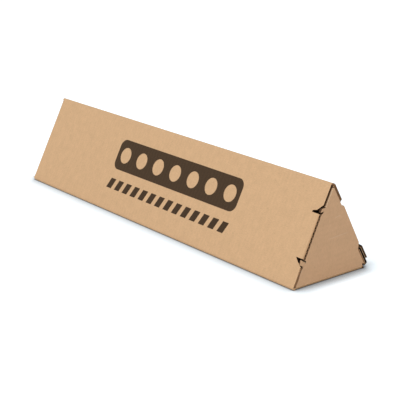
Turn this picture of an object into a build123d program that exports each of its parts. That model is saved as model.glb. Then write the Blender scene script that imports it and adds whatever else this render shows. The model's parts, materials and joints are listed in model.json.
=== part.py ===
from build123d import *
from math import atan2, sqrt, tan
import os

# A triangular mailing tube of brown corrugated board, closed at both ends and lying on its
# bottom panel. One die-cut sheet makes the whole tube: glue flap, bottom, front and back
# panels, then two dust flaps and one hinged end flap at each end.
# Frame: X along the tube, Z up, the front panel on the -Y side. The origin lies on the
# resting face, under the middle of the tube.
# Places in the triangle are points with X = 0. A panel is a pair of corners, written from
# the corner where distances along it start.

# Driving dimensions, in millimetres.
tube_length = 650.0        # outside, over both closed end flaps
base_width = 140.0         # bottom panel, between the outer planes of front and back
tube_height = 131.6        # from the ground up to where those two planes would meet
board = 3.4                # thickness of the corrugated board
fold_radius = 3.0          # outside radius of the long folds
glue_flap_height = 36.0    # glue flap, measured up the inside of the back panel
seam_height = 15.6         # cut edge of the back panel, from the bottom corner

# Cut-outs beside each dust flap, measured along the panel's end edge.
tip_mouth = 31.0           # from the tip corner to the near side of the opening
tip_notch = 45.8           # from the tip corner to the dust flap
tip_notch_depth = 16.8     # how far the cut-out runs into the panel
tip_slot_width = 4.4       # its narrow part
tip_slot_lean = 2.0        # how much of that width the narrow part has lost at its end
tip_slot_depth = 9.6       # where it starts to widen towards the mouth
foot_mouth = 31.8          # from the hinge corner to the near side of the opening
seam_mouth = 36.8          # the same on the back panel
foot_notch = 42.7          # from the hinge corner to the dust flap
foot_notch_depth = 14.8
notch_bow = 1.0            # how far the slanted side bends off a straight line
tip_setback = 2.0          # front panel's near edge between the ridge and the cut-out
foot_setback = 1.7         # the same below the lower cut-out, running out to nothing
foot_setback_run = 16.0    # over this length of the edge
far_corner_trim = 5.0      # chamfer on the bottom panel beside the far hinge
corner_slot = 4.0          # slot at the glue flap's fold, along the bottom panel
corner_slot_rise = 5.4     # its height up the glue flap
corner_slot_depth = 8.2
glue_trim_rise = 10.0      # height at which the glue flap's end starts to slant back
clear = 1.0                # how far a cut runs on past the board

# Dust flaps, folded in at right angles.
dust_lean = 0.22           # how much each side leans in, as a share of the flap's width
dust_corner = 5.0          # radius of its free corners
dust_gap = 1.0             # left between the two dust flaps of an end
layer_gap = 0.3            # between dust flap and end flap

# End flaps. Insets are from the outer plane of the side panel.
hinge_gap = 0.08           # between the rounded fold and the flap that turns round it
tip_gap = 0.5              # tip, from the inner face of the side panels
foot_gap = 0.4             # foot, from the inner face of the side panels
seam_gap = 1.6             # the same beside the glue flap
ear_tip_inset = 0.9        # wide part between the shoulders, at its end towards the tip
ear_foot_inset = 2.5       # the same, at its end towards the hinge
upper_shoulder = 4.6       # ear, past the dust flap's cut, on a side without lugs
upper_run = 3.2            # slant of that shoulder along the panel
lower_shoulder = 2.5       # ear, short of the dust flap's cut, on a side without lugs
lower_run = 8.0            # slant of that shoulder along the panel
foot_trim = 5.2            # cut off the near flap's corner beside the glue flap
foot_trim_rise = 4.2       # height of that cut above the hinge
tip_radius = 0.8
corner_radius = 1.2

# Lugs: the corners of the near flap beyond a slit, on the front panel's side.
lug_proud = 2.7            # lower lug at its slit, past the outer plane of the front panel
lug_foot_proud = 0.3       # the same at its hinge end
upper_lug_proud = 2.1      # upper lug
lug_gap = 2.2              # lower lug, from the mouth of the cut-out
ear_overlap = 0.6          # ear, past the dust flap's cut
slit_width = 1.4           # at the mouth, along the panel
slit_end = 2.4             # at the closed end
upper_slit_run = 4.4       # slant of the upper slit along the panel
upper_slit_inset = 3.2     # its closed end
lower_slit_run = 1.8
lower_slit_inset = 5.6
upper_lug_length = 5.4
upper_lug_slant = 3.5

# Corrugation: two liners and a wavy sheet between them.
liner = 0.33
wave_sheet = 0.33
flute_pitch = 6.7
flute_crest = 0.7          # half the width of a flute at its narrow side
flute_crown = 0.33         # rise of the rounded narrow side
crushed_width = 7.5        # flattened strip beside the hinge
crushed_edge = 1.2         # flattened rim of an end flap, except along the ears
flute_margin = 8.5         # solid board kept at the tip

# Print on the front panel: a rounded field with a row of discs, over a row of slanted bars.
ink = 0.1
print_centre = 302.0       # from the near end
field_length = 296.0
field_width = 48.0
field_middle = 59.0        # down the panel from the top corner
field_radius = 12.0
disc_count = 7
disc_radius = 12.5
bar_count = 14
bar_length = 12.5
bar_width = 16.0
bar_slant = 6.0
bar_middle = 106.0         # down the panel from the top corner

apex = Vector(0, 0, tube_height)
front_corner = Vector(0, -base_width / 2, 0)
rear_corner = Vector(0, base_width / 2, 0)
middle = (apex + front_corner + rear_corner) / 3

front = (apex, front_corner)
back = (apex, rear_corner)
bottom = (front_corner, rear_corner)
side_length = (front_corner - apex).length
end_x = tube_length / 2
joint_depth = board + layer_gap + board   # from the end to where a dust flap's fold starts
far_reach = 4 * base_width                # long enough to cut right through the tube
tip_inset = board + tip_gap               # end flaps' edges near the tip
foot_inset = board + foot_gap             # and near the hinge
seam_inset = 2 * board + seam_gap         # and near the hinge beside the glue flap


def along(panel):
    """Unit vector from a panel's first corner to its second."""
    return (panel[1] - panel[0]).normalized()


def inward(panel):
    """Unit normal of a panel, pointing into the tube."""
    normal = Vector(1, 0, 0).cross(along(panel))
    return normal if normal.dot(middle - panel[0]) > 0 else -normal


def spot(panel, distance, inset):
    """Point at a distance along a panel, and inset from its outer plane."""
    return panel[0] + along(panel) * distance + inward(panel) * inset


def crossing(panel_1, inset_1, panel_2, inset_2):
    """Point where two panels' outer lines meet once each is moved inwards by its inset."""
    normal_1 = inward(panel_1)
    normal_2 = inward(panel_2)
    reach_1 = normal_1.dot(panel_1[0]) + inset_1
    reach_2 = normal_2.dot(panel_2[0]) + inset_2
    spread = normal_1.Y * normal_2.Z - normal_1.Z * normal_2.Y
    y = (reach_1 * normal_2.Z - reach_2 * normal_1.Z) / spread
    z = (normal_1.Y * reach_2 - normal_2.Y * reach_1) / spread
    return Vector(0, y, z)


def outline(points, radii):
    """Flat face inside a closed line, with each corner rounded by its own radius."""
    return make_face(FilletPolyline(*points, radius=radii, close=True))


def half_angle(corner, arm_1, arm_2):
    """Half the angle at a corner of the triangle, in radians."""
    to_1 = (arm_1 - corner).normalized()
    to_2 = (arm_2 - corner).normalized()
    return atan2(to_1.cross(to_2).length, to_1.dot(to_2)) / 2


def tube_walls():
    """The three panels and the glue flap over the full length, with their long folds."""
    cut_edge = side_length - seam_height
    glue_edge = side_length - glue_flap_height
    outside = [
        apex,
        front_corner,
        crossing(bottom, 0, back, board),
        spot(back, cut_edge, board),
        spot(back, cut_edge, 0),
    ]
    inside = [
        crossing(front, board, back, board),
        crossing(front, board, bottom, board),
        crossing(bottom, board, back, 2 * board),
        spot(back, glue_edge, 2 * board),
        spot(back, glue_edge, board),
    ]
    fold = fold_radius
    section = outline(outside, [fold, fold, fold, 0, 0]) - make_face(Polyline(*inside, close=True))
    return Pos(-end_x, 0, 0) * extrude(section, amount=tube_length, dir=(1, 0, 0))


def end_cut(side, way, mouth_rise):
    """Waste cut from one end of a side panel: the place of its dust flap and two notches.

    side runs from the tip corner to the hinge corner, way is +1 at the near end, and
    mouth_rise is the distance from the hinge corner to the lower notch.
    """
    def place(distance, depth):
        return spot(side, distance, -clear) + Vector(way * (end_x - depth), 0, 0)

    width = (side[1] - side[0]).length
    foot = width - foot_notch
    mouth = width - mouth_rise
    slot = tip_notch - tip_slot_width
    tip_waste = FilletPolyline(
        place(tip_notch, -clear),
        place(tip_mouth, -clear),
        place(tip_mouth, 0),
        place(slot, tip_slot_depth),
        place(slot + tip_slot_lean, tip_notch_depth),
        place(tip_notch, tip_notch_depth),
        radius=[0, 0, 0, tip_slot_width, tip_slot_lean / 2, tip_slot_lean / 4],
        close=True,
    )
    foot_bend = place((foot + mouth) / 2 + notch_bow, foot_notch_depth / 2)
    foot_waste = [
        ThreePointArc(place(foot, foot_notch_depth), foot_bend, place(mouth, 0)),
        Polyline(
            place(mouth, 0),
            place(mouth, -clear),
            place(foot, -clear),
            place(foot, foot_notch_depth),
        ),
    ]
    flap_waste = Polyline(
        place(tip_notch, joint_depth),
        place(foot, joint_depth),
        place(foot, -clear),
        place(tip_notch, -clear),
        close=True,
    )
    two_layers = 2 * board + 2 * clear
    wastes = [make_face(tip_waste), make_face(foot_waste), make_face(flap_waste)]
    return [extrude(waste, amount=two_layers, dir=inward(side)) for waste in wastes]


def edge_trim(side, way, start, stop, start_depth, stop_depth, layers):
    """Waste off a panel's end edge between two distances, for this many layers of board."""
    corners = [(start, -clear), (start, start_depth), (stop, stop_depth), (stop, -clear)]
    points = [spot(side, down, -clear) + Vector(way * (end_x - depth), 0, 0) for down, depth in corners]
    waste = make_face(Polyline(*points, close=True))
    return extrude(waste, amount=layers * board + clear, dir=inward(side))


def dust_flap(side, way, tip_half_angle):
    """A dust flap with its fold, on the side panel that runs from the tip corner.

    The flap stops short of the tip corner's bisector, so that the two dust flaps of an end
    don't meet.
    """
    foot = (side[1] - side[0]).length - foot_notch
    taper = dust_lean * (foot - tip_notch)
    reach = (tip_notch + taper) * tan(tip_half_angle) - dust_gap
    plate_x = Vector(way * (end_x - joint_depth), 0, 0)
    corners = [
        spot(side, tip_notch, board),
        spot(side, foot, board),
        spot(side, foot - taper, reach),
        spot(side, tip_notch + taper, reach),
    ]
    corners = [corner + plate_x for corner in corners]
    plate = extrude(outline(corners, [0, 0, dust_corner, dust_corner]), amount=board, dir=(way, 0, 0))

    centre = spot(side, tip_notch, board) + plate_x
    outer = spot(side, tip_notch, 0) + plate_x
    end = centre + Vector(way * board, 0, 0)
    slant = Vector(way, 0, 0) * board * sqrt(0.5) - inward(side) * board * sqrt(0.5)
    corner = make_face([
        Line(centre, outer),
        ThreePointArc(outer, centre + slant, end),
        Line(end, centre),
    ])
    fold = extrude(corner, amount=foot - tip_notch, dir=along(side))
    return plate + fold


def open_flute(panel, start, stop, layer, way, setback=0):
    """The half flute that the cut lays open along a panel's end edge.

    start and stop are distances along the panel, and layer counts boards from the outside.
    """
    outer = layer * board + liner
    inner = (layer + 1) * board - liner
    end = Vector(way * (end_x - setback), 0, 0)
    under = Vector(way * (end_x - setback - flute_pitch / 2), 0, 0)
    section = make_face(Polyline(
        spot(panel, start, outer) + end,
        spot(panel, start, inner) + end,
        spot(panel, start, inner) + under,
        close=True,
    ))
    return extrude(section, amount=stop - start, dir=along(panel))


def fold_waste(hinge, start, stop, way):
    """What the rounded fold of an end flap leaves free of the square end of its panel."""
    centre = start + Vector(way * (end_x - board), 0, 0)
    edge = centre + Vector(way * board, 0, 0)
    under = centre - inward(hinge) * board
    slant = Vector(way, 0, 0) * board * sqrt(0.5) - inward(hinge) * board * sqrt(0.5)
    square = edge - inward(hinge) * board
    waste = make_face([
        ThreePointArc(edge, centre + slant, under),
        Line(under, square),
        Line(square, edge),
    ])
    return extrude(waste, amount=(stop - start).length, dir=(stop - start).normalized())


def channel(root, hinge, way, turned):
    """One tunnel between a liner and the wavy sheet. root lies on the flap's outer face."""
    base = liner
    crest = board - liner - wave_sheet
    if turned:
        base = board - liner
        crest = liner + wave_sheet
    crown = flute_crown if crest > base else -flute_crown
    half_base = flute_pitch / 2 - flute_crest - wave_sheet / 2

    def place(depth, offset):
        side_step = along(hinge) * far_reach / 2
        return root + inward(hinge) * offset - Vector(way * depth, 0, 0) - side_step

    tunnel = make_face([
        Line(place(base, -half_base), place(base, half_base)),
        Line(place(base, half_base), place(crest - crown, flute_crest)),
        ThreePointArc(place(crest - crown, flute_crest), place(crest, 0), place(crest - crown, -flute_crest)),
        Line(place(crest - crown, -flute_crest), place(base, -half_base)),
    ])
    return extrude(tunnel, amount=far_reach, dir=along(hinge))


def lug_side(side, tip_inset, foot_inset):
    """Outline of an end flap along a side with lugs, from above the foot up to the tip.

    A slanted slit at each end of the ear parts it from a small lug. Returns the points, their
    radii, and the distances at which the ear starts and stops.
    """
    width = (side[1] - side[0]).length
    ear_low = width - foot_notch + ear_overlap
    ear_high = tip_notch - ear_overlap
    low_end = ear_low + lower_slit_run
    high_end = ear_high - upper_slit_run
    lug_low = width - foot_mouth - lug_gap
    lug_high = ear_high - slit_width - upper_lug_length
    points = [
        spot(side, lug_low, foot_inset),
        spot(side, lug_low, -lug_foot_proud),
        spot(side, ear_low + slit_width, -lug_proud),
        spot(side, low_end + slit_end / 2, lower_slit_inset),
        spot(side, low_end - slit_end / 2, lower_slit_inset),
        spot(side, ear_low, ear_foot_inset),
        spot(side, ear_high, ear_tip_inset),
        spot(side, high_end + slit_end / 2, upper_slit_inset),
        spot(side, high_end - slit_end / 2, upper_slit_inset),
        spot(side, ear_high - slit_width, -upper_lug_proud),
        spot(side, lug_high, -upper_lug_proud),
        spot(side, lug_high - upper_lug_slant, tip_inset),
    ]
    return points, [0, corner_radius, 0, 0, 0, 0, 0, 0, 0, 0, corner_radius, 0], (ear_high, ear_low)


def plain_side(side, tip_inset, foot_inset):
    """Outline of an end flap along a side without lugs, from above the foot up to the tip."""
    ear_low = (side[1] - side[0]).length - foot_notch - lower_shoulder
    ear_high = tip_notch - upper_shoulder
    points = [
        spot(side, ear_low + lower_run, foot_inset),
        spot(side, ear_low, ear_foot_inset),
        spot(side, ear_high, ear_tip_inset),
        spot(side, ear_high - upper_run, tip_inset),
    ]
    return points, [0, corner_radius, corner_radius, corner_radius], (ear_high, ear_low)


def end_flap(hinge, sides, way):
    """A hinged end flap, closed.

    sides holds two rows, each with a side that runs from the tip corner to the hinge, the
    insets of its tip and foot, what is cut off its hinge corner, and the function that draws
    its edge.
    """
    edges = []
    rims = []
    for side, tip_inset, foot_inset, trim, draw_edge in sides:
        points, radii, (ear_high, ear_low) = draw_edge(side, tip_inset, foot_inset)
        corner = crossing(side, foot_inset, hinge, board)
        if trim > 0:
            level = crossing(side, foot_inset, hinge, board + foot_trim_rise)
            corner -= along(hinge) * trim
            points = [corner + inward(hinge) * foot_trim_rise, level] + points
            radii = [0, 0] + radii
        edges.append(([corner] + points, [0] + radii))
        width = (side[1] - side[0]).length
        rims += [(side, 0, ear_high, tip_inset), (side, ear_low, width, foot_inset)]
    (points_1, radii_1), (points_2, radii_2) = edges
    tip = crossing(sides[0][0], sides[0][1], sides[1][0], sides[1][1])
    shape = outline(points_1 + [tip] + points_2[::-1], radii_1 + [tip_radius] + radii_2[::-1])
    base = Pos(way * (end_x - board), 0, 0)
    plate = extrude(base * shape, amount=board, dir=(way, 0, 0))

    hinge_line = hinge[0] + inward(hinge) * board + Vector(way * (end_x - board), 0, 0)
    bearing = Cylinder(board + hinge_gap, far_reach)
    plate -= Plane(origin=hinge_line, z_dir=along(hinge)) * bearing

    outer_face = hinge[0] + inward(hinge) * board + Vector(way * end_x, 0, 0)
    span = inward(hinge).dot(tip - hinge[0]) - board
    count = int((span - crushed_width - flute_margin) / (flute_pitch / 2))
    channels = []
    for number in range(count):
        root = outer_face + inward(hinge) * (crushed_width + number * flute_pitch / 2)
        channels.append(channel(root, hinge, way, number % 2 == 1))

    solid_rims = []
    for side, start, stop, inset in rims:
        strip = Polyline(
            spot(side, start, -lug_proud - clear),
            spot(side, stop, -lug_proud - clear),
            spot(side, stop, inset + crushed_edge),
            spot(side, start, inset + crushed_edge),
            close=True,
        )
        solid_rims.append(plate & extrude(base * make_face(strip), amount=board, dir=(way, 0, 0)))
    return plate - channels + solid_rims


def front_print():
    """Thin fields of ink on the front panel."""
    def place(from_end, down):
        return spot(front, down, 0) + Vector(end_x - from_end, 0, 0)

    def patch(points, radii):
        return extrude(outline(points, radii), amount=ink, dir=-inward(front))

    left = print_centre + field_length / 2
    right = print_centre - field_length / 2
    top = field_middle - field_width / 2
    low = field_middle + field_width / 2
    field = patch(
        [place(left, top), place(right, top), place(right, low), place(left, low)],
        [field_radius] * 4,
    )
    for number in range(disc_count):
        centre = place(right + (number + 0.5) * field_length / disc_count, field_middle)
        disc = Plane(origin=centre, z_dir=inward(front)) * Cylinder(disc_radius, clear)
        field -= disc

    bars = []
    for number in range(bar_count):
        centre = right + (number + 0.5) * field_length / bar_count
        upper = bar_middle - bar_width / 2
        lower = bar_middle + bar_width / 2
        points = [
            place(centre + (bar_length - bar_slant) / 2, upper),
            place(centre - (bar_length + bar_slant) / 2, upper),
            place(centre - (bar_length - bar_slant) / 2, lower),
            place(centre + (bar_length + bar_slant) / 2, lower),
        ]
        bars.append(patch(points, [0] * 4))
    return [field] + bars


def tube_body():
    """The folded sheet without its two hinged end flaps."""
    body = tube_walls()
    base_from_rear = (rear_corner, front_corner)
    back_from_rear = (rear_corner, apex)
    apex_angle = half_angle(apex, front_corner, rear_corner)
    foot_angle = half_angle(rear_corner, apex, front_corner)
    ridge_run = fold_radius / tan(apex_angle)
    foot_run = fold_radius / tan(foot_angle)
    seam = side_length - seam_height
    glue_corner = crossing(bottom, board, back, 2 * board)
    glue_foot = (glue_corner - apex).dot(along(back))
    glue_top = side_length - glue_flap_height - clear

    front_mouth = side_length - foot_mouth
    body -= end_cut(front, 1, foot_mouth) + end_cut(back, 1, seam_mouth)
    body -= end_cut(base_from_rear, -1, foot_mouth) + end_cut(back_from_rear, -1, foot_mouth)
    body -= [
        edge_trim(front, 1, -clear, tip_notch, tip_setback, tip_setback, 1),
        edge_trim(front, 1, front_mouth, front_mouth + foot_setback_run, foot_setback, 0, 1),
        edge_trim(back, 1, side_length - glue_trim_rise, side_length, 0, corner_slot_depth, 2),
        edge_trim(base_from_rear, -1, base_width - far_corner_trim, base_width, 0, far_corner_trim, 1),
    ]
    body -= [
        open_flute(front, ridge_run, tip_notch, 0, 1, tip_setback),
        open_flute(front, front_mouth, side_length - foot_run, 0, 1),
        open_flute(back, ridge_run, seam + clear, 0, 1),
        open_flute(back, glue_top, glue_foot, 1, 1),
        open_flute(base_from_rear, foot_run, base_width - foot_run, 0, -1),
        open_flute(back, ridge_run, seam + clear, 0, -1),
        open_flute(back, glue_top, glue_foot, 1, -1),
    ]
    body += [dust_flap(front, 1, apex_angle), dust_flap(back, 1, apex_angle)]
    body += [dust_flap(base_from_rear, -1, foot_angle), dust_flap(back_from_rear, -1, foot_angle)]

    near_start = crossing(bottom, board, front, board)
    near_stop = crossing(bottom, board, back, seam_inset) - along(bottom) * (foot_trim - layer_gap)
    far_start = crossing(front, board, back, board)
    far_stop = crossing(front, board, bottom, board)
    slot_side = Vector(0, glue_corner.Y - corner_slot, -clear)
    slot_section = make_face(Polyline(
        slot_side,
        rear_corner - Vector(0, 0, clear),
        spot(back, side_length - corner_slot_rise, -clear),
        spot(back, side_length - corner_slot_rise, 2 * board),
        crossing(bottom, board + clear, back, 2 * board),
        slot_side + Vector(0, 0, board + 2 * clear),
        close=True,
    ))
    slot_start = Pos(end_x - corner_slot_depth, 0, 0)
    stub_start = (near_stop - front_corner).dot(along(bottom))
    body -= [
        fold_waste(bottom, near_start, near_stop, 1),
        fold_waste(front, far_start, far_stop, -1),
        open_flute(bottom, stub_start, base_width, 0, 1),
        extrude(slot_start * slot_section, amount=corner_slot_depth + clear, dir=(1, 0, 0)),
    ]
    return body


# The seam makes the section lopsided, so the finished pieces move sideways together until
# the origin is under the middle of the tube.
walls_box = tube_walls().bounding_box()
centring = Pos(0, -(walls_box.min.Y + walls_box.max.Y) / 2, 0)

near_sides = [
    (front, tip_inset, foot_inset, 0, lug_side),
    (back, tip_inset, seam_inset, foot_trim, plain_side),
]
far_sides = [
    ((rear_corner, front_corner), tip_inset, foot_inset, 0, plain_side),
    ((rear_corner, apex), board + tip_inset, foot_inset, 0, plain_side),
]

nodes = {
    "tube_body": tube_body(),
    "near_end_flap": end_flap(bottom, near_sides, 1),
    "far_end_flap": end_flap(front, far_sides, -1),
    "front_print": Compound(children=front_print()),
}

os.makedirs("parts", exist_ok=True)
for name, shape in nodes.items():
    export_step(centring * shape, f"parts/{name}.step")
far_line = centring * Pos(*(crossing(front, board, bottom, board)))
print("far hinge point", far_line.position, "axis", -along(front))
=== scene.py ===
# %% [markdown]
# # A triangular mailing tube of brown corrugated board
# The solids come from the CAD model: a folded body, two end flaps that hinge, and the print.
# This script dresses them for the render. It adds a camera, gives the paper, the cut edges and
# the ink their own finishes, closes the end folds with strips of paper, and adds a floor and
# light. Nothing here moves or resizes a part.

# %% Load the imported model
import json
from math import cos, pi, radians, sin

import bmesh
import bpy
import numpy as np
from mathutils import Matrix, Vector


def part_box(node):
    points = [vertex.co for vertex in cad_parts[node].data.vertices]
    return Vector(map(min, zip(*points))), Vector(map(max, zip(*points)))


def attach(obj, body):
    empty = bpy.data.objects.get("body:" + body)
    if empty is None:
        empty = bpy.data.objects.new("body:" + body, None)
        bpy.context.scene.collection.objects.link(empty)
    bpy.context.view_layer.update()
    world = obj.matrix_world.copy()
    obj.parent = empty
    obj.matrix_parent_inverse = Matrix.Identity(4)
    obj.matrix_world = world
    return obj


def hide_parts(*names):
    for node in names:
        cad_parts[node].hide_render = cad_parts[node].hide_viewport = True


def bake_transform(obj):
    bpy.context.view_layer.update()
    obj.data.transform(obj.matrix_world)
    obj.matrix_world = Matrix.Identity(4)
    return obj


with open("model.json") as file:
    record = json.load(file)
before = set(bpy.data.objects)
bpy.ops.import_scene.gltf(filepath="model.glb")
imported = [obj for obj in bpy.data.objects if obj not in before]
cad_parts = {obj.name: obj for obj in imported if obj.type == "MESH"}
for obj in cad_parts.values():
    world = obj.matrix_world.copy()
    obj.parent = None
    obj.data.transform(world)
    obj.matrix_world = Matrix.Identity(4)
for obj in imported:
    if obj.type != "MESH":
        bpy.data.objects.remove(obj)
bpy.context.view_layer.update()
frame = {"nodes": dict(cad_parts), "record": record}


def rounded(values):
    """Lengths in metres to a tenth of a millimetre, for printing."""
    return [round(value, 4) for value in values]


# %% [markdown]
# ## Where the panels lie
# Paint that follows a panel needs the panel's plane. The two hinges give all of it. The near
# hinge lies on the inner face of the bottom panel, so its height is the board's thickness. The
# far hinge runs up the inner face of the front panel, so its axis is that panel's way up.
# The back panel mirrors the front one. Each outer plane is kept as a normal and a reach, the
# distance from the origin to the plane along that normal.

# %% Panels from the hinges
joints = {joint["name"]: joint for joint in frame["record"]["behaviour"]["joints"]}
near_hinge = Vector(joints["near_flap_fold"]["pos_m"])
far_hinge = Vector(joints["far_flap_fold"]["pos_m"])
front_up = Vector(joints["far_flap_fold"]["axis"])
board = near_hinge.z
end_x = near_hinge.x + board

front_out = Vector((0, -front_up.z, front_up.y))
back_out = Vector((0, front_up.z, front_up.y))
front_reach = front_out.dot(far_hinge) + board
back_reach = max(back_out.dot(v.co) for v in frame["nodes"]["tube_body"].data.vertices)

ridge = Vector((
    0,
    (back_reach - front_reach) / (2 * front_up.z),
    (back_reach + front_reach) / (2 * front_up.y),
))
front_foot = Vector((0, -front_reach / front_up.z, 0))
rear_foot = Vector((0, back_reach / front_up.z, 0))
print("board mm", round(board * 1000, 2), "ridge", rounded(ridge))

# %% [markdown]
# ## Camera
# The photograph was taken with a fairly long lens, from the right of the front panel and a little
# above it. Position, direction and lens were worked out from the straight edges of the tube. The
# camera also leans by about one degree, so its axes are built one by one: first the way back
# towards the photographer, then a level right, then the lean about the way back.

# %% Camera
camera_place = Vector((1.366885, -1.001164, 0.569086))
camera_azimuth = radians(52.81)
camera_elevation = radians(17.73)
camera_lean = radians(-1.151)
lens_mm = 107.27
sensor_mm = 36.0
nearest_seen = 0.05

back_way = Vector((
    sin(camera_azimuth) * cos(camera_elevation),
    -cos(camera_azimuth) * cos(camera_elevation),
    sin(camera_elevation),
))
level_right = Vector((cos(camera_azimuth), sin(camera_azimuth), 0.0))
camera_right = Matrix.Rotation(camera_lean, 3, back_way) @ level_right
camera_up = back_way.cross(camera_right)

camera_data = bpy.data.cameras.new("camera")
camera_data.lens = lens_mm
camera_data.sensor_width = sensor_mm
camera_data.clip_start = nearest_seen
camera = bpy.data.objects.new("camera", camera_data)
bpy.context.collection.objects.link(camera)
turn = Matrix((camera_right, camera_up, back_way)).transposed()
camera.matrix_world = Matrix.Translation(camera_place) @ turn.to_4x4()
bpy.context.scene.camera = camera
bpy.context.scene.view_settings.view_transform = "Standard"
print("camera right", rounded(camera_right))

# %% [markdown]
# ## A short way to write nodes
# A material is a small tree of nodes, and a few helpers keep the trees readable. They add a
# node and feed its inputs, do sums on numbers and vectors, make noise and mix colours. The
# last ones start and place node groups, start a material, and feed its shader. A node group is
# an effect with named inputs and outputs that several materials can share.

# %% Node helpers
def feed(tree, sockets, feeds):
    """Give each named or numbered input its constant, or link it to the socket given."""
    for key, value in feeds.items():
        if isinstance(value, bpy.types.NodeSocket):
            tree.links.new(value, sockets[key])
        else:
            sockets[key].default_value = value


def put(tree, kind, feeds=None, **settings):
    """Add a node with these settings, and feed its inputs."""
    node = tree.nodes.new("ShaderNode" + kind)
    for name, value in settings.items():
        setattr(node, name, value)
    feed(tree, node.inputs, feeds or {})
    return node


def maths(tree, operation, *values):
    """The output of one Math node, whose inputs are numbers or sockets."""
    return put(tree, "Math", dict(enumerate(values)), operation=operation).outputs[0]


def vectors(tree, operation, *values):
    """The vector output of one Vector Math node."""
    return put(tree, "VectorMath", dict(enumerate(values)), operation=operation).outputs[0]


def dot(tree, first, second):
    """The dot product of two vectors."""
    return put(tree, "VectorMath", {0: first, 1: second}, operation="DOT_PRODUCT").outputs["Value"]


def length(tree, vector):
    """The length of a vector."""
    return put(tree, "VectorMath", {0: vector}, operation="LENGTH").outputs["Value"]


def scaled(tree, vector, factor):
    """A vector or a colour times a number."""
    return put(tree, "VectorMath", {0: vector, "Scale": factor}, operation="SCALE").outputs[0]


def ramp(tree, value, low, high, start=0.0, end=1.0):
    """Smooth step: start below low, end above high, with a soft curve between."""
    feeds = {"Value": value, "From Min": low, "From Max": high, "To Min": start, "To Max": end}
    return put(tree, "MapRange", feeds, interpolation_type="SMOOTHSTEP").outputs[0]


def noise(tree, place, cells, detail, roughness=0.5):
    """A noise between 0 and 1 with this many cells to each unit of place."""
    feeds = {"Vector": place, "Scale": cells, "Detail": detail, "Roughness": roughness}
    return put(tree, "TexNoise", feeds).outputs[0]


def blend_colours(tree, share, first, second):
    """Mix from the first colour to the second by share."""
    return put(tree, "Mix", {0: share, 6: first, 7: second}, data_type="RGBA").outputs[2]


def start_group(name, inputs, outputs):
    """A node group's tree, its inner inputs and its inner outputs."""
    tree = bpy.data.node_groups.new(name, "ShaderNodeTree")
    for label, kind in inputs:
        tree.interface.new_socket(label, in_out="INPUT", socket_type="NodeSocket" + kind)
    for label, kind in outputs:
        tree.interface.new_socket(label, in_out="OUTPUT", socket_type="NodeSocket" + kind)
    inner_inputs = tree.nodes.new("NodeGroupInput").outputs
    inner_outputs = tree.nodes.new("NodeGroupOutput").inputs
    return tree, inner_inputs, inner_outputs


def use_group(tree, group, feeds):
    """Place a group in a tree, feed its inputs by name, and give back its outputs."""
    return put(tree, "Group", feeds, node_tree=group).outputs


def start_material(name):
    """A material, its tree, its shader and a socket with the place on the object."""
    paint = bpy.data.materials.new(name)
    paint.use_nodes = True
    tree = paint.node_tree
    place = put(tree, "TexCoord").outputs["Object"]
    return paint, tree, tree.nodes["Principled BSDF"], place


def feed_shader(tree, shader, colour, roughness, specular, height, strength, depth):
    """Feed the shader, with a bump of this strength and depth in metres made from height."""
    bump = put(tree, "Bump", {"Strength": strength, "Distance": depth, "Height": height})
    feed(tree, shader.inputs, {"Base Color": colour, "Roughness": roughness,
                               "Specular IOR Level": specular, "Normal": bump.outputs[0]})


# %% [markdown]
# ## Kraft paper
# The outer sheets of the board are unbleached kraft paper. Close up it is a felt of short
# fibres that lie mostly one way, a few darker bits of bark, and soft clouds where the sheet is
# thicker. A photographed texture would do, but noise at three scales needs no image and never
# repeats. The fibres are one noise stretched along the paper's own grain.

# %% The paper group
cloud_cells = 95.0         # noise cells per metre
bark_cells = 620.0
fibre_weight = 0.55        # how much each noise changes the tone
cloud_weight = 0.19
fleck_weight = -0.30
fleck_from = 0.66          # the bark noise at which a fleck starts,
fleck_full = 0.78          # and at which it is full
paper_rough = 0.90
fibre_rough = -0.16        # what the fibres add to that
cloud_height = 0.5         # height of the clouds against that of the fibres


def make_paper_group():
    """Colour = tone times (1 + contrast times (fibre + cloud + fleck)), each with its weight."""
    tree, given, result = start_group(
        "kraft_paper",
        [("Position", "Vector"), ("Grain", "Vector"), ("Tone", "Color"), ("Contrast", "Float")],
        [("Color", "Color"), ("Height", "Float"), ("Roughness", "Float")],
    )
    place = given["Position"]
    fibre = noise(tree, vectors(tree, "MULTIPLY", place, given["Grain"]), 1.0, 5.0, 0.65)
    cloud = noise(tree, place, cloud_cells, 3.0)
    bark = noise(tree, place, bark_cells, 2.0)
    fibre_part = maths(tree, "MULTIPLY", maths(tree, "SUBTRACT", fibre, 0.5), fibre_weight)
    cloud_part = maths(tree, "MULTIPLY", maths(tree, "SUBTRACT", cloud, 0.5), cloud_weight)
    fleck_part = ramp(tree, bark, fleck_from, fleck_full, 0.0, fleck_weight)
    total = maths(tree, "ADD", maths(tree, "ADD", fibre_part, cloud_part), fleck_part)
    shade = maths(tree, "MULTIPLY_ADD", total, given["Contrast"], 1.0)
    height = maths(tree, "ADD", fibre, maths(tree, "MULTIPLY", cloud, cloud_height))
    feed(tree, result, {
        "Color": scaled(tree, given["Tone"], shade), "Height": height,
        "Roughness": maths(tree, "MULTIPLY_ADD", fibre, fibre_rough, paper_rough)})
    return tree


paper_group = make_paper_group()
print("group", paper_group.name, [item.name for item in paper_group.interface.items_tree])

# %% [markdown]
# ## Washboard
# The flutes under the paper show through as faint, even bands, because the liner sinks a
# little between the crests that it is glued to. They could be modelled, but they are a tenth
# of a millimetre deep, so a bump and a hint of shade do. On this sheet the flutes run round
# the tube, so on the panels the bands follow one another along X.

# %% The washboard group
flute_pitch = 0.0067


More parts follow.
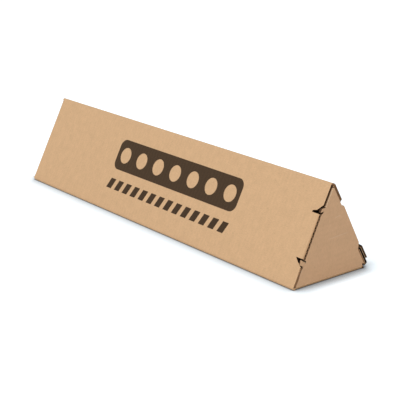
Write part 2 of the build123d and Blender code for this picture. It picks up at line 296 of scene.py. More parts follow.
def make_washboard_group():
    """Height and shade are a cosine of the place along the sheet, one turn to each flute."""
    tree, given, result = start_group(
        "flute_washboard",
        [("Place", "Float"), ("Pitch", "Float"), ("Color", "Color"), ("Shade", "Float")],
        [("Color", "Color"), ("Height", "Float")],
    )
    turns = maths(tree, "DIVIDE", given["Place"], given["Pitch"])
    wave = maths(tree, "COSINE", maths(tree, "MULTIPLY", turns, 2 * pi))
    level = maths(tree, "MULTIPLY_ADD", wave, given["Shade"], 1.0)
    feed(tree, result, {"Color": scaled(tree, given["Color"], level),
                        "Height": maths(tree, "MULTIPLY_ADD", wave, 0.5, 0.5)})
    return tree


washboard_group = make_washboard_group()
print("group", washboard_group.name)

# %% [markdown]
# ## Rubbed folds and painted light
# Board that is bent round a sharp line stretches its outer paper, which turns paler and is the
# first place to be rubbed. The same paler paper also stands as painted light: a painted highlight
# along the ridge, and at the two feet a painted lift of the shade beside the floor. Blender could
# find edges with a pointiness value, but that reads the mesh's own spacing. Here the mask is the
# distance from the fold's line, which runs along X, broken up by noise so that the paleness comes
# and goes.

# %% The fold group
across_x = (0.0, 1.0, 1.0)     # a vector times this keeps only its part square to X
patch_cells = 90.0             # noise cells per metre
full_pale_share = 0.35         # the paleness is full over this share of its reach
thin_patch, full_patch = 0.30, 0.62    # the noise where the paleness is thinnest, and where it is full
thin_patch_pale = 0.35


def make_fold_group():
    """The pale share, from wear and painted light, falls with the distance to a line along X, and
    is thinner where a noise is low.
    """
    tree, given, result = start_group(
        "rubbed_and_lit_fold",
        [("Position", "Vector"), ("Fold", "Vector"), ("Reach", "Float"), ("Paleness", "Float"),
         ("Color", "Color"), ("Pale Tone", "Color")],
        [("Color", "Color")],
    )
    offset = vectors(tree, "SUBTRACT", given["Position"], given["Fold"])
    distance = length(tree, vectors(tree, "MULTIPLY", offset, across_x))
    far = ramp(tree, maths(tree, "DIVIDE", distance, given["Reach"]), full_pale_share, 1.0)
    patches = noise(tree, given["Position"], patch_cells, 4.0, 0.6)
    broken = ramp(tree, patches, thin_patch, full_patch, thin_patch_pale, 1.0)
    near = maths(tree, "MULTIPLY", maths(tree, "SUBTRACT", 1.0, far), broken)
    share = maths(tree, "MULTIPLY", near, given["Paleness"])
    feed(tree, result, {"Color": blend_colours(tree, share, given["Color"], given["Pale Tone"])})
    return tree


fold_group = make_fold_group()
print("group", fold_group.name)

# %% [markdown]
# ## Creases
# The end flap of the photographed tube has two faint creases where the board gave under a
# thumb. A crease is a short straight line, so its mask is the distance to a segment: the
# place along the segment is clamped between 0 and 1, and the rest is the distance from there.
# Towards its two ends the crease fades.

# %% The crease group
def make_crease_group():
    """Mask = 1 on a segment, falling to 0 at the given width beside it and at its two ends."""
    tree, given, result = start_group(
        "thumb_crease",
        [("Position", "Vector"), ("Start", "Vector"), ("Span", "Vector"), ("Width", "Float")],
        [("Mask", "Float")],
    )
    span = given["Span"]
    offset = vectors(tree, "SUBTRACT", given["Position"], given["Start"])
    flat = vectors(tree, "MULTIPLY", offset, across_x)
    along_span = maths(tree, "DIVIDE", dot(tree, flat, span), dot(tree, span, span))
    place = put(tree, "Clamp", {"Value": along_span}).outputs[0]
    gap = vectors(tree, "SUBTRACT", flat, scaled(tree, span, place))
    beside = ramp(tree, maths(tree, "DIVIDE", length(tree, gap), given["Width"]), 0.0, 1.0)
    line = maths(tree, "SUBTRACT", 1.0, beside)
    from_middle = maths(tree, "ABSOLUTE", maths(tree, "MULTIPLY_ADD", place, 2.0, -1.0))
    fade = maths(tree, "SUBTRACT", 1.0, maths(tree, "POWER", from_middle, 4.0))
    feed(tree, result, {"Mask": maths(tree, "MULTIPLY", line, fade)})
    return tree


crease_group = make_crease_group()
print("group", crease_group.name)

# %% [markdown]
# ## The paper's materials
# Body and flaps are the same board, but the grain runs another way on each, because each flap
# was folded up out of the flat sheet. So one function makes the material, and the grain, the
# axis of the flutes and the creases are its arguments. Kraft paper is matt: high roughness
# and a low specular level, which is the same all over and so sits on the shader's socket.
# The paper that is bent round the end folds is paler than the rest: partly stretched paper, partly
# painted light that lifts the shade under the folds.

# %% Paper
kraft_tone = (0.690, 0.449, 0.254, 1.0)
flap_tone = (0.685, 0.441, 0.264, 1.0)
# paler paper round the end folds, partly stretched, partly painted light that lifts the shade
# under the folds
bent_and_lit_tone = (0.750, 0.510, 0.310, 1.0)
# pale paper for wear and creases, and also painted light at the folds
pale_paper_tone = (0.80, 0.60, 0.42, 1.0)
body_contrast = 0.85
flap_contrast = 0.65
fibre_long = 340.0         # noise cells per metre along the grain
fibre_short = 1500.0       # and across it
# The ridge's paleness is wear and a painted highlight; at the feet it is mostly painted light that
# lifts the shade beside the floor.
ridge_wear_and_highlight = 0.36
foot_wear_and_painted_light = 0.65
fold_reach = 0.0042
band_shade = 0.010
band_height = 0.6          # height of the washboard against that of the fibres
crease_width = 0.0012
crease_pale = 0.35
paper_specular = 0.2
paper_bump = (0.35, 0.00012)   # strength and depth


def paper_material(name, tone, grain, flute_axis, contrast, creases=()):
    """Kraft paper with fibres along grain and flutes that follow one another along an axis."""
    paint, tree, shader, place = start_material(name)
    paper = use_group(tree, paper_group, {"Position": place, "Grain": grain,
                                          "Tone": tone, "Contrast": contrast})
    board_face = use_group(tree, washboard_group, {
        "Place": dot(tree, place, flute_axis), "Pitch": flute_pitch,
        "Color": paper["Color"], "Shade": band_shade})
    colour = board_face["Color"]
    for fold, fold_paleness in ((ridge, ridge_wear_and_highlight), (front_foot, foot_wear_and_painted_light), (rear_foot, foot_wear_and_painted_light)):
        colour = use_group(tree, fold_group, {
            "Position": place, "Fold": tuple(fold), "Reach": fold_reach, "Paleness": fold_paleness,
            "Color": colour, "Pale Tone": pale_paper_tone})["Color"]
    height = maths(tree, "MULTIPLY_ADD", board_face["Height"], band_height, paper["Height"])
    for start, span, depth in creases:
        mask = use_group(tree, crease_group, {"Position": place, "Start": start, "Span": span,
                                              "Width": crease_width})["Mask"]
        height = maths(tree, "MULTIPLY_ADD", mask, depth, height)
        pale = maths(tree, "MULTIPLY", mask, crease_pale)
        colour = blend_colours(tree, pale, colour, pale_paper_tone)
    feed_shader(tree, shader, colour, paper["Roughness"], paper_specular, height, *paper_bump)
    return paint


grain_along_x = (fibre_long, fibre_short, fibre_short)
grain_along_z = (fibre_short, fibre_short, fibre_long)
grain_across = (fibre_short, fibre_long, fibre_short)
# A crease has a start, a span, and a height against that of the fibres.
thumb_creases = (
    ((0.0, -0.0074, 0.0552), (0.0, 0.0371, 0.0018), 1.6),
    ((0.0, 0.0035, 0.0815), (0.0, 0.0120, 0.0022), 0.9),
)
body_paper = paper_material("kraft_body", kraft_tone, grain_along_x, (1.0, 0.0, 0.0),
                            body_contrast)
near_paper = paper_material("kraft_near_flap", flap_tone, grain_along_z, (0.0, 0.0, 1.0),
                            flap_contrast, thumb_creases)
far_paper = paper_material("kraft_far_flap", flap_tone, grain_across, tuple(-front_out),
                           flap_contrast)
bent_and_lit_paper = paper_material("kraft_bent_and_lit", bent_and_lit_tone, grain_across, (0.0, 0.0, 1.0),
                            flap_contrast)
print("paper", body_paper.name, near_paper.name, far_paper.name, bent_and_lit_paper.name)

# %% [markdown]
# ## Cut edges
# A die cuts through two liners and the fluted sheet between them, and the cut shows as two
# pale lines with a wave between and dark hollows. The flaps have that wave as real tunnels.
# The body's walls are solid in the CAD model, so there the wave is drawn: the cut faces carry a UV
# map in millimetres, U along the sheet and V through the board, and a sine in U is compared with
# V, with painted shade for the hollows. Other cuts are torn fibre of one tone: pale where the rim
# is crushed shut, and darker elsewhere, partly as cut fibre and partly as painted shade, where it
# lies along an open flute and round a notch, nearly black deep in a notch and in the flaps'
# tunnels.

# %% Edge materials
liner_mm = 0.33
board_mm = board * 1000
pitch_mm = flute_pitch * 1000
liner_blur_mm = (-0.10, 0.05)      # the liner fades over this much about its inner face
wave_mm = (0.25, 0.60)             # the fluted sheet is solid to the first, gone at the second
flute_shadow = (0.0018, 0.0046)    # painted shadow: an open flute darkens between these distances from its end
torn_contrast = 1.6
edge_specular = 0.1
drawn_bump = (0.6, 0.0004)
torn_bump = (0.5, 0.0002)
# darker than the paper: partly cut fibre, partly painted shade of the open flutes behind the cut
raw_cut_and_shade_tone = (0.300, 0.170, 0.090, 1.0)
crushed_tone = (0.740, 0.530, 0.340, 1.0)
ear_tone = (0.350, 0.210, 0.115, 1.0)
# partly cut fibre, partly painted shade, for the front panel's foot and the low lugs
foot_cut_and_shade_tone = (0.560, 0.360, 0.210, 1.0)
# painted shade: nearly black, for the back panel's open foot and the high lugs deep in their notch
deep_shade_tone = (0.085, 0.047, 0.025, 1.0)
# painted shade inside the flaps' flute tunnels
tunnel_shade_tone = (0.060, 0.034, 0.018, 1.0)
# painted shade: cuts across the flutes, round the notches, are as dark as the shade in a notch
notch_shade_tone = (0.150, 0.084, 0.045, 1.0)
# painted shade: the hollows drawn on solid cuts, and the depths of open flutes
hollow_shade_tone = (0.020, 0.011, 0.006, 1.0)


def torn_paper(tree, place, tone):
    """Paper whose fibres are short and lie every way."""
    return use_group(tree, paper_group, {
        "Position": place, "Grain": (fibre_short, fibre_short, fibre_short),
        "Tone": tone, "Contrast": torn_contrast})


def drawn_edge_material(name, tone):
    """Liner where V is near a face, wave where V is near the sine of U, painted shade of the
    hollows elsewhere.
    """
    paint, tree, shader, place = start_material(name)
    split = put(tree, "SeparateXYZ", {0: put(tree, "UVMap", uv_map="sheet").outputs[0]})
    across, depth = split.outputs[0], split.outputs[1]
    paper = torn_paper(tree, place, tone)
    middle = board_mm / 2
    core = middle - liner_mm
    from_middle = maths(tree, "SUBTRACT", depth, middle)
    liner = ramp(tree, maths(tree, "ABSOLUTE", from_middle), core + liner_blur_mm[0],
                 core + liner_blur_mm[1])
    turns = maths(tree, "DIVIDE", across, pitch_mm)
    wave = maths(tree, "SINE", maths(tree, "MULTIPLY", turns, 2 * pi))
    gap = maths(tree, "ABSOLUTE", maths(tree, "SUBTRACT", from_middle,
                                        maths(tree, "MULTIPLY", wave, core)))
    solid = maths(tree, "MAXIMUM", liner, ramp(tree, gap, *wave_mm, 1.0, 0.0))
    colour = blend_colours(tree, solid, hollow_shade_tone, paper["Color"])
    feed_shader(tree, shader, colour, paper["Roughness"], edge_specular, solid, *drawn_bump)
    return paint


def raw_edge_material(name, tone, shadow=None):
    """Torn fibre of one tone, with a painted shadow that may darken it between two distances from
    the tube's ends.
    """
    paint, tree, shader, place = start_material(name)
    paper = torn_paper(tree, place, tone)
    colour = paper["Color"]
    if shadow:
        along = put(tree, "SeparateXYZ", {0: place}).outputs[0]
        behind = maths(tree, "SUBTRACT", end_x, maths(tree, "ABSOLUTE", along))
        colour = blend_colours(tree, ramp(tree, behind, *shadow), colour, hollow_shade_tone)
    feed_shader(tree, shader, colour, paper["Roughness"], edge_specular, paper["Height"],
                *torn_bump)
    return paint


drawn_edge = drawn_edge_material("cut_across_flutes", notch_shade_tone)
end_edge = drawn_edge_material("cut_along_flutes", crushed_tone)
open_flute_edge = raw_edge_material("open_flute", raw_cut_and_shade_tone, flute_shadow)
dull_edge = raw_edge_material("dull_cut", raw_cut_and_shade_tone)
foot_edge = raw_edge_material("foot_cut", foot_cut_and_shade_tone)
deep_flute_shade = raw_edge_material("deep_flute_shade", deep_shade_tone)
crushed_edge = raw_edge_material("crushed_rim", crushed_tone)
ear_edge = raw_edge_material("ear_cut", ear_tone)
tunnel_wall = raw_edge_material("flute_tunnel", tunnel_shade_tone)
dark_lug = raw_edge_material("dark_lug", deep_shade_tone)
print("edges", [paint.name for paint in (drawn_edge, end_edge, open_flute_edge, dull_edge,
                                        foot_edge, deep_flute_shade, crushed_edge, ear_edge,
                                        tunnel_wall, dark_lug)])

# %% [markdown]
# ## The board's meshes
# The CAD nodes arrive as loose triangles, which can't be shaded smoothly over the rounded
# folds. So each board piece gets its own mesh: a copy with its corners welded, sorted into
# paper faces and cut faces. The copy stays exactly where the node is and stands in for it.
# Sorting is arithmetic on whole arrays. How deep a face lies under each outer plane of the
# tube says which panel it belongs to, and its normal says whether it is paper or a cut.

# %% Welded copies
weld_distance = 1e-6
sharp_angle = radians(35)


def welded_copy(node, body, finishes):
    """A copy of a CAD node with shared corners, riding on its body in the node's place."""
    shell = bmesh.new()
    shell.from_mesh(frame["nodes"][node].data)
    bmesh.ops.remove_doubles(shell, verts=shell.verts, dist=weld_distance)
    mesh = bpy.data.meshes.new(node + "_board")
    shell.to_mesh(mesh)
    shell.free()
    for finish in finishes.values():
        mesh.materials.append(finish)
    mesh.shade_smooth()
    mesh.set_sharp_from_angle(angle=sharp_angle)
    piece = bpy.data.objects.new(node + "_board", mesh)
    bpy.context.collection.objects.link(piece)
    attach(piece, body)
    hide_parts(node)
    return mesh


body_finishes = {"paper": body_paper, "drawn": drawn_edge, "open": open_flute_edge,
                 "dull": dull_edge, "end": end_edge, "foot": foot_edge, "deep": deep_flute_shade}
flap_cuts = {"rim": crushed_edge, "ear": ear_edge, "high_lug": dark_lug,
             "tunnel": tunnel_wall, "low_lug": foot_edge}
near_finishes = {"paper": near_paper, **flap_cuts}
far_finishes = {"paper": far_paper, **flap_cuts}
body_slot = {name: number for number, name in enumerate(body_finishes)}
flap_slot = {name: number for number, name in enumerate(near_finishes)}

body_mesh = welded_copy("tube_body", "tube", body_finishes)
near_mesh = welded_copy("near_end_flap", "near_flap", near_finishes)
far_mesh = welded_copy("far_end_flap", "far_flap", far_finishes)
print("faces", len(body_mesh.polygons), len(near_mesh.polygons), len(far_mesh.polygons))


# %% Arrays of faces and corners
def face_arrays(mesh):
    """Centres and normals of all faces, in metres, as two arrays of three columns."""
    count = len(mesh.polygons)
    centres = np.empty(count * 3)
    normals = np.empty(count * 3)
    mesh.polygons.foreach_get("center", centres)
    mesh.polygons.foreach_get("normal", normals)
    return centres.reshape(-1, 3), normals.reshape(-1, 3)


def faces_of_corners(mesh):
    """The number of the face that each face corner belongs to."""
    corners_each = np.empty(len(mesh.polygons), dtype=np.int32)
    mesh.polygons.foreach_get("loop_total", corners_each)
    return np.repeat(np.arange(len(mesh.polygons)), corners_each)


def corner_places(mesh):
    """Where each face corner lies, as an array of three columns."""
    points = np.empty(len(mesh.vertices) * 3)
    mesh.vertices.foreach_get("co", points)
    corner_point = np.empty(len(mesh.loops), dtype=np.int32)
    mesh.loops.foreach_get("vertex_index", corner_point)
    return points.reshape(-1, 3)[corner_point]


def true_normals(mesh, flat_faces):
    """Flat faces keep their own normal at every corner; the rest are smooth up to an edge."""
    corner_normals = np.empty(len(mesh.loops) * 3)
    mesh.corner_normals.foreach_get("vector", corner_normals)
    face = faces_of_corners(mesh)
    mesh.normals_split_custom_set(np.where(
        flat_faces[face][:, None], face_arrays(mesh)[1][face], corner_normals.reshape(-1, 3)))


def depths(points):
    """Depth of points under the outer planes of the front, back and bottom panels."""
    front_depth = front_reach - points @ np.array(front_out)
    back_depth = back_reach - points @ np.array(back_out)
    return np.stack([front_depth, back_depth, points[:, 2]], axis=1)


ridge_depths = depths(np.array([ridge]))[0]
print("the ridge's depth under each plane", rounded(ridge_depths))

# %% [markdown]
# ## Paper or cut, on the body
# A wall's face is paper where its normal is square to a panel, or where it belongs to a
# rounded fold. A dust flap's broad faces look along X, which on a wall would be a cut end, and
# what tells them apart is that a dust flap lies deeper than the walls are thick. The cuts at
# the tube's ends differ by panel and by height: the front panel's is crushed at its foot, and
# at the back panel's foot the glued seam shows two sheets of board, one on the other.

# %% The sheet map
deep_boards = 1.02         # more boards deep than this is behind the panel


def write_sheet_map(mesh, face_depths, in_dust_flap, flat_end):
    """U = place along the sheet and V = depth in the board, in mm, at every face corner."""
    points = corner_places(mesh)
    face = faces_of_corners(mesh)
    point_depths = depths(points)
    panel = face_depths.argmin(axis=1)[face]
    through = np.take_along_axis(point_depths, panel[:, None], axis=1)[:, 0]
    through = np.where(through > board * deep_boards, through - board, through)
    from_end = end_x - board - np.abs(points[:, 0])
    through = np.where(in_dust_flap[face], from_end, through)
    place = np.where(in_dust_flap[face], point_depths.min(axis=1), points[:, 0])
    # An end is cut along the flutes, so there the wave stays at its crest.
    place = np.where(flat_end[face], flute_pitch / 4, place)
    sheet_map = mesh.uv_layers.new(name="sheet")
    sheet_map.data.foreach_set("uv", (np.stack([place, through], axis=1) * 1000).ravel())


# %% Sort the body's faces
fold_zone = 0.0068         # a rounded fold's faces lie this near its unrounded corner
foot_height = 0.040        # below it the front panel's end is crushed, and the seam's is open
end_zone = 0.0075          # the cuts at an end lie within this of it
dust_fold_x = end_x - 2 * board - 0.0003   # where a dust flap's fold starts
glue_flap_boards = 2.02    # the glue flap lies within this many boards of the back plane
round_slack = 0.00012
liner_deep = 0.9 * liner_mm / 1000         # deeper than this on both sides is between liners
# How much of a face's normal lies along the way it looks, or along X.
square_on = 0.985          # square to a panel
hardly_on = 0.02           # below this, across X
flat_on = 0.999            # flat on an end
dust_on = 0.8              # the broad face of a dust flap
seam_on = 0.9              # the end of the seam
slanted_on = 0.5           # a slanted cut
past_round = 0.9995        # above this, no part of a rounded fold


def on_round(along_x, depth, start_x):
    """Whether points lie on a fold of radius board whose line is at start_x, board deep."""
    return np.abs(np.hypot(along_x - start_x, board - depth) - board) < round_slack


def sort_body(mesh):
    """Sort the body's faces into paper and kinds of cut, and write its sheet map."""
    centres, normals = face_arrays(mesh)
    depth = depths(centres)
    thin = depth.min(axis=1)
    from_middle = np.abs(centres[:, 0])
    along_x = np.abs(normals[:, 0])

    outs = np.array([front_out, back_out, (0, 0, -1)])
    on_panel = (np.abs(normals @ outs.T) > square_on).any(axis=1)
    corners = np.array([ridge, front_foot, rear_foot])
    offsets = np.linalg.norm(centres[:, None, 1:] - corners[None, :, 1:], axis=2)
    on_fold = (offsets.min(axis=1) < fold_zone) & (along_x < hardly_on) & (thin < board / 2)
    end_rounds = on_round(from_middle, thin, end_x - board)
    dust_rounds = on_round(from_middle, thin, dust_fold_x)
    tilted = (along_x > hardly_on) & (along_x < past_round)
    on_end_fold = tilted & (end_rounds | dust_rounds) & (thin < board)
    behind = (thin > board * deep_boards) & (from_middle < end_x - board)
    in_dust_flap = behind & (depth[:, 1] >= glue_flap_boards * board)
    on_dust_flap = in_dust_flap & (along_x > dust_on)
    paper = on_panel | on_fold | on_dust_flap | on_end_fold

    between_liners = (thin > liner_deep) & (thin < board - liner_deep)
    open_end = (end_x - from_middle < end_zone) & between_liners
    open_end |= (along_x > seam_on) & (depth[:, 1] < 2 * board)
    slanted = (along_x > slanted_on) | on_panel
    in_end = open_end & slanted & ~on_dust_flap & ~on_end_fold
    flat_end = in_end & (along_x > flat_on)
    low = centres[:, 2] < foot_height
    on_back = depth[:, 1] < depth[:, 0]

    sorted_as = np.where(paper, body_slot["paper"], body_slot["drawn"])
    # Cuts at the ends carry painted shade of the flutes behind them: darker where open, nearly
    # black at the back panel's foot.
    sorted_as[in_end] = body_slot["open"]
    sorted_as[in_end & low & ~on_back] = body_slot["foot"]
    sorted_as[in_end & low & on_back] = body_slot["deep"]
    sorted_as[flat_end & ~low & on_back] = body_slot["dull"]
    sorted_as[flat_end & low & on_back] = body_slot["end"]
    mesh.polygons.foreach_set("material_index", sorted_as.astype(np.int32))
    write_sheet_map(mesh, depth, in_dust_flap, flat_end)
    true_normals(mesh, ~(on_fold | on_end_fold) | on_panel)
    return np.bincount(sorted_as)


print("faces of each finish on the body", sort_body(body_mesh))

# %% [markdown]
# ## Paper, cut or tunnel, on the flaps
# At rest both end flaps stand square to X. Their two outermost planes are paper. The flutes run
# along the hinge, so a face that looks square to the hinge is the wall of a tunnel, apart from the
# rounded foot of the flap, and all else is a cut. The tunnel walls are nearly black with painted
# shade. The cuts differ too: the rim is crushed and pale, the ear is cut clean through the flutes,
# and the lugs are darker, partly as cut fibre and partly as painted shade, the high ones dark with
# the painted shade of sitting deep in their notch. Small cuts that look up are open flutes, and
# take the tunnels' painted shade. How far a face lies inside the planes of the front and back
# panels tells these apart.

# %% Sort the flaps' faces
plane_slack = 0.00003
foot_boards = 1.3          # the flap's rounded foot reaches this many boards from the hinge
lug_line = 0.0004          # nearer to the side panels' outer planes than this is a lug
ear_line = 0.0029          # and nearer than this is an ear
shoulder_line = 0.0060     # a cut that looks up, nearer than this, opens into the flutes
shoulder_on = 0.75         # how much of its normal lies along the flap's way up
high_lug = 0.060           # lugs farther from the hinge than this sit deep in their notch


def sort_flap(mesh, hinge, axis, flap_way):
    """Sort a flap's faces by their plane, their way against the hinge, and their place."""
    centres, normals = face_arrays(mesh)
    from_end = end_x - np.abs(centres[:, 0])
    on_plane = (np.abs(from_end) < plane_slack) | (np.abs(from_end - board) < plane_slack)
    paper = on_plane & (np.abs(normals[:, 0]) > square_on)
    reach = (centres - np.array(hinge)) @ np.array(flap_way)
    past_foot = reach > foot_boards * board
    tunnel = (np.abs(normals @ np.array(axis)) < hardly_on) & past_foot
    side_depth = depths(centres)[:, :2].min(axis=1)
    looks_up = normals @ np.array(flap_way) > shoulder_on
    shoulder = looks_up & past_foot & (side_depth < shoulder_line)
    lug = side_depth < lug_line
    ear = side_depth < ear_line
    kinds = {"paper": paper, "tunnel": tunnel | shoulder, "high_lug": lug & (reach > high_lug),
             "low_lug": lug, "ear": ear}
    slots = [flap_slot[kind] for kind in kinds]
    sorted_as = np.select(list(kinds.values()), slots, flap_slot["rim"])
    mesh.polygons.foreach_set("material_index", sorted_as.astype(np.int32))
    true_normals(mesh, paper)
    return np.bincount(sorted_as)


print("faces of each finish on the near flap",
      sort_flap(near_mesh, near_hinge, Vector((0, 1, 0)), Vector((0, 0, 1))))
print("and on the far flap", sort_flap(far_mesh, far_hinge, front_up, -front_out))

# %% [markdown]
# ## Paper round the end folds
# A flap's outer paper runs round its fold in one piece, but in the CAD model flap and panel are
# two solids with a gap between them, so that they can turn. A thin strip of paper closes the gap.
# Its profile is a quarter circle about the hinge, a fine bend about the hinge's height and a short
# straight stretch on the flap, just under both surfaces, and it wraps round the panel's rounded
# end.

# %% Fold strips
strip_depth = 0.00003      # how far it lies under the faces on both sides
strip_thickness = 0.00022
strip_on_flap = 0.0016
bend_half = 0.0003         # the strip bends over this much either side of the hinge's height
strip_inset = 0.0002       # it stops this short of the flap's corners
arc_angles = np.radians(np.linspace(-88, -6, 22))
bend_steps = 31
strip_rows = 40


def strip_profile(radius):
    """Outward and flapward distances from the hinge: a quarter arc, a fine bend, a run."""
    arc = np.stack([radius * np.cos(arc_angles), radius * np.sin(arc_angles)], axis=1)
    bend = np.linspace(-bend_half, bend_half, bend_steps)
    heights = np.concatenate([bend, [strip_on_flap]])
    run = np.stack([np.full_like(heights, radius), heights], axis=1)
    return np.concatenate([arc, run])


def fold_strip(name, node, hinge, axis, end_way, flap_way, paper):
    """A closed thin strip: the profile and its inner copy, carried along the hinge's axis."""
    flap = np.array([v.co for v in frame["nodes"][node].data.vertices])
    offset = flap - np.array(hinge)
    reach = offset @ np.array(flap_way)
    along = (offset @ np.array(axis))[reach < 2 * strip_on_flap]
    outer = strip_profile(board - strip_depth)
    inner = strip_profile(board - strip_depth - strip_thickness)[::-1]
    ring = np.concatenate([outer, inner])
    places = np.linspace(along.min() + strip_inset, along.max() - strip_inset, strip_rows)
    points = (np.array(hinge)[None, None, :]
              + places[:, None, None] * np.array(axis)
              + ring[None, :, :1] * np.array(end_way)
              + ring[None, :, 1:] * np.array(flap_way))
    index = np.arange(strip_rows * len(ring)).reshape(strip_rows, len(ring))
    beside = np.roll(index, -1, axis=1)
    quads = np.stack([index[:-1], beside[:-1], beside[1:], index[1:]], axis=-1).reshape(-1, 4)
    # Each end is closed by faces between the outer profile and the inner one.
    left = index[:, :len(outer)]
    right = index[:, len(outer):][:, ::-1]
    caps = [np.stack([left[row, :-1], left[row, 1:], right[row, 1:], right[row, :-1]], axis=1)
            for row in (0, -1)]
    mesh = bpy.data.meshes.new(name)
    mesh.from_pydata(points.reshape(-1, 3).tolist(), [], np.concatenate([quads, *caps]).tolist())
    shell = bmesh.new()
    shell.from_mesh(mesh)
    bmesh.ops.recalc_face_normals(shell, faces=shell.faces)
    shell.to_mesh(mesh)
    shell.free()
    mesh.materials.append(paper)
    mesh.shade_smooth()
    mesh.set_sharp_from_angle(angle=sharp_angle)
    strip = bpy.data.objects.new(name, mesh)
    bpy.context.collection.objects.link(strip)
    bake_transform(strip)
    return strip


near_strip = fold_strip("near_fold_paper", "near_end_flap", near_hinge, Vector((0, 1, 0)),
                        Vector((1, 0, 0)), Vector((0, 0, 1)), bent_and_lit_paper)
far_strip = fold_strip("far_fold_paper", "far_end_flap", far_hinge, front_up,
                       Vector((-1, 0, 0)), -front_out, bent_and_lit_paper)
print("strips", len(near_strip.data.vertices), len(far_strip.data.vertices))

# %% [markdown]
# ## Ink
# The print is water-based ink pressed onto rough paper by a soft plate. It is very dark brown
# rather than black, some fibres show through, and it takes a little less between the crests of the
# flutes. The lower row is a little darker than the large field above it.

# %% Ink material
field_ink = (0.064, 0.038, 0.020, 1.0)
lower_row_ink = (0.058, 0.034, 0.018, 1.0)
bare_fibre = (0.30, 0.20, 0.12, 1.0)
bare_noise = (0.56, 0.74)      # fibres show from the first value of the noise to the second
bare_share = 0.30              # and cover at most this share
ink_band_shade = 0.05
ink_specular = 0.10
ink_bump = (0.3, 0.0001)
row_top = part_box("front_print")[0][2] + 0.0175     # between the lower row and the field
row_blur = 0.001


def ink_material():
    """Two tones split by height, thinned by fibres and by the washboard."""
    paint, tree, shader, place = start_material("brown_ink")
    split = put(tree, "SeparateXYZ", {0: place})
    in_row = ramp(tree, split.outputs[2], row_top - row_blur, row_top + row_blur, 1.0, 0.0)
    tone = blend_colours(tree, in_row, field_ink, lower_row_ink)
    fibres = noise(tree, vectors(tree, "MULTIPLY", place, grain_along_x), 1.0, 5.0, 0.7)
    bare = ramp(tree, fibres, *bare_noise, 0.0, bare_share)
    banded = use_group(tree, washboard_group, {
        "Place": split.outputs[0], "Pitch": flute_pitch, "Shade": ink_band_shade,
        "Color": blend_colours(tree, bare, tone, bare_fibre)})
    rough = ramp(tree, fibres, 0.35, 0.7, 0.55, 0.75)
    feed_shader(tree, shader, banded["Color"], rough, ink_specular, fibres, *ink_bump)
    return paint


brown_ink = ink_material()
for slot in frame["nodes"]["front_print"].material_slots:
    slot.material = brown_ink
print("ink", brown_ink.name)

# %% [markdown]
# ## Floor
# The floor of the photograph is white paper that fades into the background, with a soft, slightly
# blue shadow. A white floor under enough light would clip, so it is a pale grey, and what the
# camera sees of it gets a little glow of its own. The glow is switched on for camera rays alone,
# so it lights nothing. Close to the tube both paint and glow sink with ambient occlusion, the
# share of the sky that near things leave open, raised to a power. In the glow that lets the real
# shadow show; in the paint, which only camera rays see there, it is a painted contact shadow,
# tinted slightly blue. Light that bounces off the floor onto the tube meets a plain white that is
# slightly warmer.

# %% Floor
floor_half = 6.0
contact_reach = 0.026
sky_samples = 16
floor_cloud_cells = 8.0
pale_grey = (0.745, 0.755)
cool_tint = (0.90, 0.97, 1.04)
bounce_tone = (0.79, 0.76, 0.72, 1.0)
glow_tone = (0.88, 0.96, 1.0, 1.0)
glow_strength = 0.65
paint_power = 1.1              # how fast the painted contact shadow darkens the paint
glow_power = 2.5               # and the glow
floor_rough = 0.9

floor_mesh = bpy.data.meshes.new("floor")
floor_corners = [(-floor_half, -floor_half, 0), (floor_half, -floor_half, 0),
                 (floor_half, floor_half, 0), (-floor_half, floor_half, 0)]
floor_mesh.from_pydata(floor_corners, [], [(0, 1, 2, 3)])
floor = bpy.data.objects.new("floor", floor_mesh)
bpy.context.collection.objects.link(floor)


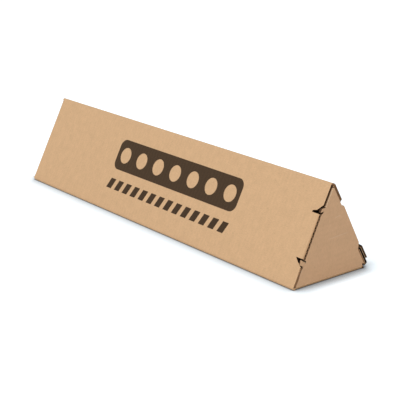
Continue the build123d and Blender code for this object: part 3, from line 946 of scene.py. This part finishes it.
def floor_material():
    """Matt pale grey with a faint cloud and a painted contact shadow, plus a glow that only camera
    rays meet.
    """
    paint, tree, shader, place = start_material("floor_paper")
    cloud = noise(tree, place, floor_cloud_cells, 2.0)
    open_sky = put(tree, "AmbientOcclusion", {"Distance": contact_reach},
                   samples=sky_samples).outputs["AO"]
    grey = maths(tree, "MULTIPLY", ramp(tree, cloud, 0.2, 0.8, *pale_grey),
                 maths(tree, "POWER", open_sky, paint_power))
    seen = put(tree, "LightPath").outputs["Is Camera Ray"]
    paint_seen = blend_colours(tree, seen, bounce_tone, scaled(tree, cool_tint, grey))
    feed(tree, shader.inputs, {"Base Color": paint_seen, "Roughness": floor_rough})
    glow_share = maths(tree, "MULTIPLY", seen, maths(tree, "POWER", open_sky, glow_power))
    strength = maths(tree, "MULTIPLY", glow_share, glow_strength)
    glow = put(tree, "Emission", {"Color": glow_tone, "Strength": strength})
    both = put(tree, "AddShader", {0: shader.outputs[0], 1: glow.outputs[0]})
    tree.links.new(both.outputs[0], tree.nodes["Material Output"].inputs["Surface"])
    return paint


floor_mesh.materials.append(floor_material())
print("floor", floor_half * 2, "m square")

# %% [markdown]
# ## Light
# The picture has one large soft light in front and to the left, and a pale room all round.
# Area lamps are soft because they are large. The world gives the room: a dim, even white for
# the surfaces, and full white for rays from the camera, from gloss and through glass, so that
# the background is white without lighting the tube any more.

# %% World
plain_white = (1.0, 1.0, 1.0, 1.0)
room_strength = 0.40
world = bpy.data.worlds.new("studio")
bpy.context.scene.world = world
world.use_nodes = True
room = world.node_tree
ambient = room.nodes["Background"]
feed(room, ambient.inputs, {"Color": plain_white, "Strength": room_strength})
white = put(room, "Background", {"Color": plain_white, "Strength": 1.0})
ray = put(room, "LightPath").outputs
seen_or_gloss = maths(room, "MAXIMUM", ray["Is Camera Ray"], ray["Is Glossy Ray"])
shows_white = maths(room, "MAXIMUM", seen_or_gloss, ray["Is Transmission Ray"])
chosen = put(room, "MixShader", {0: shows_white, 1: ambient.outputs[0], 2: white.outputs[0]})
room.links.new(chosen.outputs[0], room.nodes["World Output"].inputs["Surface"])
print("world", world.name)

# %% Lamps
tube_middle = Vector((0, 0, 0.07))


def softbox(name, place, size, power, tint=(1.0, 1.0, 1.0)):
    """A square area lamp at place, with its width in m and power in W, facing the tube."""
    lamp = bpy.data.lights.new(name, "AREA")
    lamp.color = tint
    lamp.shape = "SQUARE"
    lamp.size = size
    lamp.energy = power
    holder = bpy.data.objects.new(name, lamp)
    bpy.context.collection.objects.link(holder)
    aim = tube_middle - Vector(place)
    holder.location = place
    holder.rotation_euler = aim.to_track_quat("-Z", "Y").to_euler()
    return holder


lamps = [
    softbox("key", (-0.3, -3.6, 3.4), 2.4, 106),
    softbox("fill", (2.6, -0.5, 1.5), 1.8, 15, (1.0, 0.97, 0.95)),
    softbox("back", (-0.8, 2.2, 1.8), 1.8, 18),
]
print("lamps", [(lamp.name, lamp.data.energy) for lamp in lamps])
